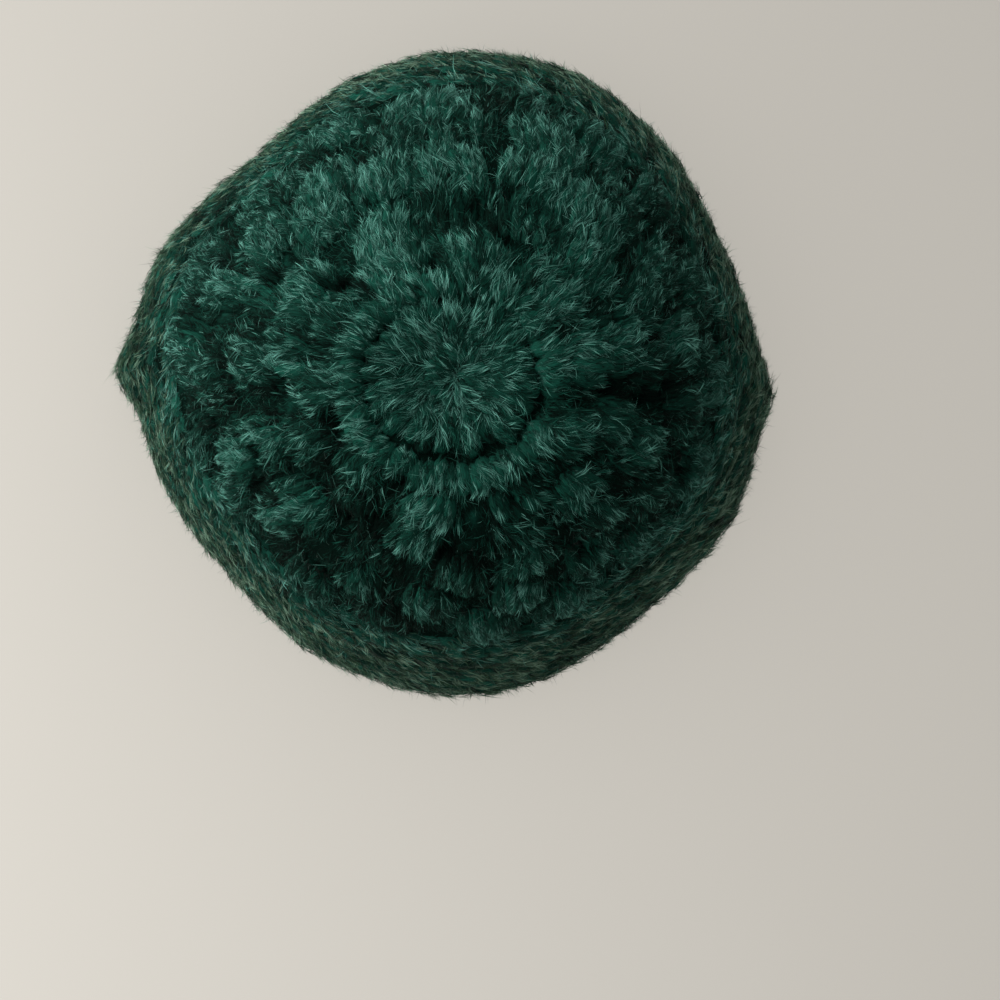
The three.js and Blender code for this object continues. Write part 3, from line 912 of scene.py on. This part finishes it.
class YarnLook(bpy.types.PropertyGroup):
    """Colours and fibres of the yarn."""

    dark: FloatVectorProperty(
        name="Dark", description="Darkest fibres", subtype="COLOR", size=3, default=(0.0003, 0.0055, 0.0035)
    )
    middle: FloatVectorProperty(
        name="Middle", description="Most fibres", subtype="COLOR", size=3, default=(0.007, 0.068, 0.047)
    )
    light: FloatVectorProperty(
        name="Light", description="Lightest fibres", subtype="COLOR", size=3, default=(0.13, 0.36, 0.295)
    )
    # The band's greyer, lighter colours are a painted sheen of its fuzz.
    band_middle: FloatVectorProperty(
        name="Band Middle",
        description="Most fibres of the band",
        subtype="COLOR",
        size=3,
        default=(0.026, 0.075, 0.037),
    )
    band_light: FloatVectorProperty(
        name="Band Light", description="Lightest fibres of the band", subtype="COLOR", size=3, default=(0.2, 0.34, 0.24)
    )
    length: FloatProperty(
        name="Fibre Length", description="Mean length of a brushed fibre", default=0.003, unit="LENGTH"
    )
    width: FloatProperty(name="Fibre Width", description="Width of a fibre at its root", default=0.0002, unit="LENGTH")
    wander: FloatProperty(
        name="Wander", description="How far locks of fibres turn from their stitch, in radians", default=0.38
    )
    crown_locks: IntProperty(name="Crown Locks", description="Bent fibres on the crown", default=72000)
    crown_fuzz: IntProperty(name="Crown Fuzz", description="Short straight fibres on the crown", default=250000)
    ground_fuzz: IntProperty(name="Ground Fuzz", description="Fibres between the crown's stitches", default=60000)
    band_locks: IntProperty(name="Band Locks", description="Bent fibres on the band", default=30000)
    band_fuzz: IntProperty(name="Band Fuzz", description="Short straight fibres on the band", default=120000)
    loose_fibres: IntProperty(name="Loose Fibres", description="Long fibres that stand off the hat", default=15000)


class StageLook(bpy.types.PropertyGroup):
    """Floor, light and camera."""

    floor: FloatVectorProperty(
        name="Floor", description="Colour of the floor", subtype="COLOR", size=3, default=(0.41, 0.393, 0.362)
    )
    elevation: FloatProperty(
        name="Elevation", description="Camera above the horizon", subtype="ANGLE", default=math.radians(86)
    )
    distance: FloatProperty(name="Distance", description="Camera to the hat's middle", default=0.8, unit="LENGTH")
    aim_height: FloatProperty(name="Aim Height", description="Height of the hat's middle", default=0.05, unit="LENGTH")
    right_of_hat: FloatProperty(
        name="Right of Hat", description="Camera's shift to the right", default=0.01847, unit="LENGTH"
    )
    below_hat: FloatProperty(
        name="Below Hat", description="Camera's shift down the picture", default=0.0438, unit="LENGTH"
    )
    lens: FloatProperty(name="Lens", description="Focal length in millimetres", default=92.9)
    key: FloatProperty(name="Key Light", description="Power of the soft main light in watts", default=69.0)
    floor_light: FloatProperty(name="Floor Light", description="Power of the light on the floor alone", default=27.0)
    sky: FloatProperty(name="Sky", description="Strength of the even light from all round", default=0.44)


class BEANIE_OT_wall(bpy.types.Operator):
    """Make the hat's thick wall with its open head hollow"""

    bl_idname = "beanie.wall"
    bl_label = "Wall"

    def execute(self, context):
        sizes, look = context.scene.beanie_sizes, context.scene.beanie_yarn
        surface = HatSurface(sizes)
        crown = np.linspace(0, SEAM, CROWN_ROWS, endpoint=False)
        band = np.linspace(SEAM, 1, ROWS_PER_RIDGE * sizes.band_ridges + 1)
        share = np.concatenate([crown, band, np.linspace(1, 0, INNER_ROWS)])
        inner_start = len(share) - INNER_ROWS
        is_outer = np.arange(len(share)) < inner_start
        bm = bmesh.new()
        bmesh.ops.create_grid(bm, x_segments=WALL_COLUMNS, y_segments=len(share) - 1, size=1)
        bm.verts.ensure_lookup_table()
        grid = np.array([v.co for v in bm.verts])
        azimuth = 180 + 180 * grid[:, 0]
        row = np.rint((grid[:, 1] + 1) / 2 * (len(share) - 1)).astype(int)
        points = self.skin(surface, sizes, azimuth, share[row], is_outer[row])
        layer = bm.loops.layers.uv.new("OFBake")
        for face in bm.faces:
            for corner in face.loops:
                k = corner.vert.index
                corner[layer].uv = (azimuth[k] / 360, row[k] / (len(share) - 1))
            face.smooth = True
        for vert, point in zip(bm.verts, points):
            vert.co = point
        bmesh.ops.remove_doubles(bm, verts=bm.verts, dist=1e-6)
        bmesh.ops.recalc_face_normals(bm, faces=bm.faces)
        mesh = bpy.data.meshes.new("wall")
        bm.to_mesh(mesh)
        bm.free()
        material = wall_material(yarn_colours(look), inner_start / len(share))
        new_piece(mesh, material, replaces=("crown", "band"))
        return {"FINISHED"}

    def skin(self, surface, sizes, azimuth, share, is_outer):
        """Points of the outer face with its hollows between stitches, and of the inner face with its low ridges."""
        on_band = (sizes.ridge_puff - UNDER_RIDGE) * surface.ridge(share)
        lift = np.where(share > SEAM, on_band, WALL_RELIEF * surface.relief(sizes, azimuth, share))
        ridges = np.where(share > SEAM, surface.down(share) * sizes.band_ridges, share / SEAM * INNER_RIDGES)
        depth = sizes.wall - INNER_PUFF * np.cos(2 * math.pi * ridges)
        outer = surface.place(azimuth, share, lift)
        inner = surface.face(azimuth, share)
        inner -= surface.outward(azimuth, share) * (depth + 0.5 * surface.dent(inner))[:, None]
        return np.where(is_outer[:, None], outer, inner)


class BEANIE_OT_crown_stitches(bpy.types.Operator):
    """Lay the starting disc, its ring and the fanned shells on the crown"""

    bl_idname = "beanie.crown_stitches"
    bl_label = "Crown Stitches"

    def execute(self, context):
        sizes, look = context.scene.beanie_sizes, context.scene.beanie_yarn
        stitches = shell_stitches(HatSurface(sizes), sizes)
        material = yarn_material("yarn_core", yarn_colours(look), root_shade=0.8, streaks=0.9, sheen=0.0)
        new_piece(stitches.tubes("crown_stitches", stations=7, sides=8), material)
        return {"FINISHED"}


class BEANIE_OT_band_stitches(bpy.types.Operator):
    """Lay the ridges of the band"""

    bl_idname = "beanie.band_stitches"
    bl_label = "Band Stitches"

    def execute(self, context):
        sizes, look = context.scene.beanie_sizes, context.scene.beanie_yarn
        crests, grooves = ridge_stitches(HatSurface(sizes), sizes)
        material = yarn_material("band_yarn_core", yarn_colours(look), root_shade=0.8, streaks=0.9, sheen=0.0)
        new_piece(crests.tubes("band_stitches", stations=5, sides=6), material)
        new_piece(grooves.tubes("band_posts", stations=4, sides=5), material)
        return {"FINISHED"}


def add_fibres(name, fibres, kind, pieces, look, material, rng):
    """Makes fibres of one kind from their roots, split over some pieces so that each stays small."""
    many = len(fibres[0])
    length = look.length * kind.length * np.clip(rng.lognormal(0, 0.3, many), 0.45, 2.2) * fibres[4]
    width = look.width * kind.width * rng.uniform(0.7, 1.25, many)
    for k in range(pieces):
        part = slice(k, None, pieces)
        own = [values[part] for values in fibres[:4]]
        mesh = fibre_mesh(f"{name}_{kind.name}_{k + 1}", own, length[part], width[part], kind.bent, rng)
        new_piece(mesh, material)


class BEANIE_OT_crown_fibres(bpy.types.Operator):
    """Brush fibres out of the crown's stitches"""

    bl_idname = "beanie.crown_fibres"
    bl_label = "Crown Fibres"

    def execute(self, context):
        sizes, look = context.scene.beanie_sizes, context.scene.beanie_yarn
        rng = np.random.default_rng(31)
        stitches = shell_stitches(HatSurface(sizes), sizes)
        material = yarn_material("crown_yarn", yarn_colours(look), root_shade=0.3, streaks=0.0, sheen=0.03)
        for kind, count, pieces in ((CROWN_LOCKS, look.crown_locks, 2), (CROWN_FUZZ, look.crown_fuzz, 2)):
            add_fibres("crown", stitches.roots(kind, count, rng, look), kind, pieces, look, material, rng)
        roots = ground_roots(stitches.surface, sizes, GROUND_FUZZ, look.ground_fuzz, rng, look)
        add_fibres("crown", roots, GROUND_FUZZ, 1, look, material, rng)
        return {"FINISHED"}


class BEANIE_OT_band_fibres(bpy.types.Operator):
    """Brush fibres out of the band's ridges"""

    bl_idname = "beanie.band_fibres"
    bl_label = "Band Fibres"

    def execute(self, context):
        sizes, look = context.scene.beanie_sizes, context.scene.beanie_yarn
        rng = np.random.default_rng(37)
        stitches = ridge_stitches(HatSurface(sizes), sizes)[0]
        plain = yarn_material("upper_band_yarn", yarn_colours(look), root_shade=0.3, streaks=0.0, sheen=0.1)
        # The lower band's fibres take greyer, lighter colours: a painted sheen of their fuzz.
        colours = (look.dark, look.band_middle, look.band_light)
        sheen_painted_yarn = yarn_material("band_yarn", colours, root_shade=0.3, streaks=0.0, sheen=0.25)
        for kind, count in ((BAND_LOCKS, look.band_locks), (BAND_FUZZ, look.band_fuzz)):
            fibres = stitches.roots(kind, count, rng, look)
            height = fibres[0][:, 2] / BAND_BOX[1][2] + rng.normal(0, PLAIN_BLEND, len(fibres[0]))
            upper = height > PLAIN_ABOVE
            for name, own, material in (("upper_band", upper, plain), ("band", ~upper, sheen_painted_yarn)):
                add_fibres(name, [values[own] for values in fibres], kind, 1, look, material, rng)
        return {"FINISHED"}


class BEANIE_OT_loose_fibres(bpy.types.Operator):
    """Add long fibres that stand off the hat, and some on its inner face"""

    bl_idname = "beanie.loose_fibres"
    bl_label = "Loose Fibres"

    def execute(self, context):
        sizes, look = context.scene.beanie_sizes, context.scene.beanie_yarn
        rng = np.random.default_rng(41)
        surface = HatSurface(sizes)
        count = look.loose_fibres
        azimuth = rng.uniform(0, 360, count)
        share = np.sqrt(rng.uniform(0.001, 0.98, count))
        outwards = surface.outward(azimuth, share)
        inner = rng.random(count) < LOOSE_INSIDE
        puff = np.where(share > SEAM, sizes.ridge_puff, sizes.shell_puff) * 0.8
        root = surface.place(azimuth, share, np.where(inner, -sizes.wall - 0.0002, puff))
        away = np.where(inner[:, None], -outwards, outwards)
        loose = unit(rng.normal(0, 1, (count, 3)))
        direction = unit(loose + away * np.where(inner, 0.25, 0.6)[:, None])
        direction = unit(direction + away * np.maximum(0, 0.1 - (direction * away).sum(axis=-1))[:, None])
        direction[:, 2] = np.where(share > LEVEL_PAST, np.abs(direction[:, 2]), direction[:, 2])
        # Painted shade: loose fibres are darker in pits.
        tone = rng.normal(0.5, 0.17, count) - GROUND_PIT_SHADE * surface.hollow(root)[0]
        length = look.length * rng.uniform(0.9, 1.9, count)
        width = np.full(count, look.width * LOOSE_WIDTH)
        material = yarn_material("loose_yarn", yarn_colours(look), root_shade=0.6, streaks=0.0, sheen=0.2)
        new_piece(fibre_mesh("loose_fibres", (root, direction, away, tone), length, width, True, rng), material)
        return {"FINISHED"}


class BEANIE_OT_stage(bpy.types.Operator):
    """Set up the plain floor, the soft light and the camera"""

    bl_idname = "beanie.stage"
    bl_label = "Stage"

    def execute(self, context):
        stage = context.scene.beanie_stage
        self.floor(stage)
        self.light(context, stage)
        self.camera(context, stage)
        context.scene.view_settings.view_transform = "Standard"
        return {"FINISHED"}

    def floor(self, stage):
        """A plain floor, which is no part of the hat."""
        bm = bmesh.new()
        bmesh.ops.create_grid(bm, x_segments=1, y_segments=1, size=6)
        mesh = bpy.data.meshes.new("floor")
        bm.to_mesh(mesh)
        bm.free()
        floor = bpy.data.objects.new("floor", mesh)
        bpy.context.collection.objects.link(floor)
        mesh.materials.append(new_material("pale_floor", {"Base Color": colour(stage.floor), "Roughness": 0.9})[0])
        floor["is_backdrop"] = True

    def light(self, context, stage):
        """A soft main light from the left, an even light from all round, and a light on the floor alone."""
        aim = Vector((0, 0, stage.aim_height))
        key = self.lamp(context, "key", stage.key, size=2.4, location=(-1.5, 0.6, 1.1), aim=aim)
        low = self.lamp(context, "floor_light", stage.floor_light, size=1.2, location=(-0.8, -0.2, 0.8), aim=aim)
        low.data.use_shadow = False
        for lamp, state in ((key, "EXCLUDE"), (low, "INCLUDE")):
            lit = bpy.data.collections.new(f"lit_by_{lamp.name}")
            lit.objects.link(bpy.data.objects["floor"])
            lit.collection_objects[0].light_linking.link_state = state
            lamp.light_linking.receiver_collection = lit
        world = bpy.data.worlds.new("sky")
        world.use_nodes = True
        background = world.node_tree.nodes["Background"]
        background.inputs["Color"].default_value = colour(LIGHT_COLOUR)
        background.inputs["Strength"].default_value = stage.sky
        context.scene.world = world

    def lamp(self, context, name, power, size, location, aim):
        """A square lamp that faces a point."""
        light = bpy.data.lights.new(name, "AREA")
        light.energy = power
        light.size = size
        light.color = LIGHT_COLOUR
        lamp = bpy.data.objects.new(name, light)
        lamp.location = location
        lamp.rotation_euler = (aim - lamp.location).to_track_quat("-Z", "Y").to_euler()
        context.collection.objects.link(lamp)
        return lamp

    def camera(self, context, stage):
        """A camera at the front, that looks down by its elevation and is shifted in its own plane."""
        lens = bpy.data.cameras.new("camera")
        lens.lens = stage.lens
        lens.sensor_width = 36
        camera = bpy.data.objects.new("camera", lens)
        back = Vector((0, -math.cos(stage.elevation), math.sin(stage.elevation)))
        up = Vector((0, math.sin(stage.elevation), math.cos(stage.elevation)))
        camera.location = Vector((stage.right_of_hat, 0, stage.aim_height)) + back * stage.distance
        camera.location -= up * stage.below_hat
        camera.rotation_euler = (math.pi / 2 - stage.elevation, 0, 0)
        context.collection.objects.link(camera)
        context.scene.camera = camera


class BEANIE_PT_panel(bpy.types.Panel):
    """Sizes, colours and steps of the hat"""

    bl_label = "Crocheted Beanie"
    bl_idname = "BEANIE_PT_panel"
    bl_space_type = "VIEW_3D"
    bl_region_type = "UI"
    bl_category = "Beanie"

    def draw(self, context):
        for name in ("beanie_sizes", "beanie_yarn", "beanie_stage"):
            box = self.layout.box()
            values = getattr(context.scene, name)
            for key in values.bl_rna.properties.keys():
                if key not in ("rna_type", "name"):
                    box.prop(values, key)
        for operator in STEPS:
            self.layout.operator(operator.bl_idname)


STEPS = (
    BEANIE_OT_wall,
    BEANIE_OT_crown_stitches,
    BEANIE_OT_band_stitches,
    BEANIE_OT_crown_fibres,
    BEANIE_OT_band_fibres,
    BEANIE_OT_loose_fibres,
    BEANIE_OT_stage,
)
CLASSES = (BeanieSizes, YarnLook, StageLook, *STEPS, BEANIE_PT_panel)


def register():
    for cls in CLASSES:
        bpy.utils.register_class(cls)
    bpy.types.Scene.beanie_sizes = PointerProperty(type=BeanieSizes)
    bpy.types.Scene.beanie_yarn = PointerProperty(type=YarnLook)
    bpy.types.Scene.beanie_stage = PointerProperty(type=StageLook)


def unregister():
    del bpy.types.Scene.beanie_stage
    del bpy.types.Scene.beanie_yarn
    del bpy.types.Scene.beanie_sizes
    for cls in reversed(CLASSES):
        bpy.utils.unregister_class(cls)


def main():
    register()
    bpy.ops.beanie.wall()
    bpy.ops.beanie.crown_stitches()
    bpy.ops.beanie.band_stitches()
    bpy.ops.beanie.crown_fibres()
    bpy.ops.beanie.band_fibres()
    bpy.ops.beanie.loose_fibres()
    bpy.ops.beanie.stage()
    boxes = {"cad": CAD_BOX, "visual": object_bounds()}
    {name: [list(corner) for corner in box] for name, box in boxes.items()}


if __name__ == "__main__":
    main()
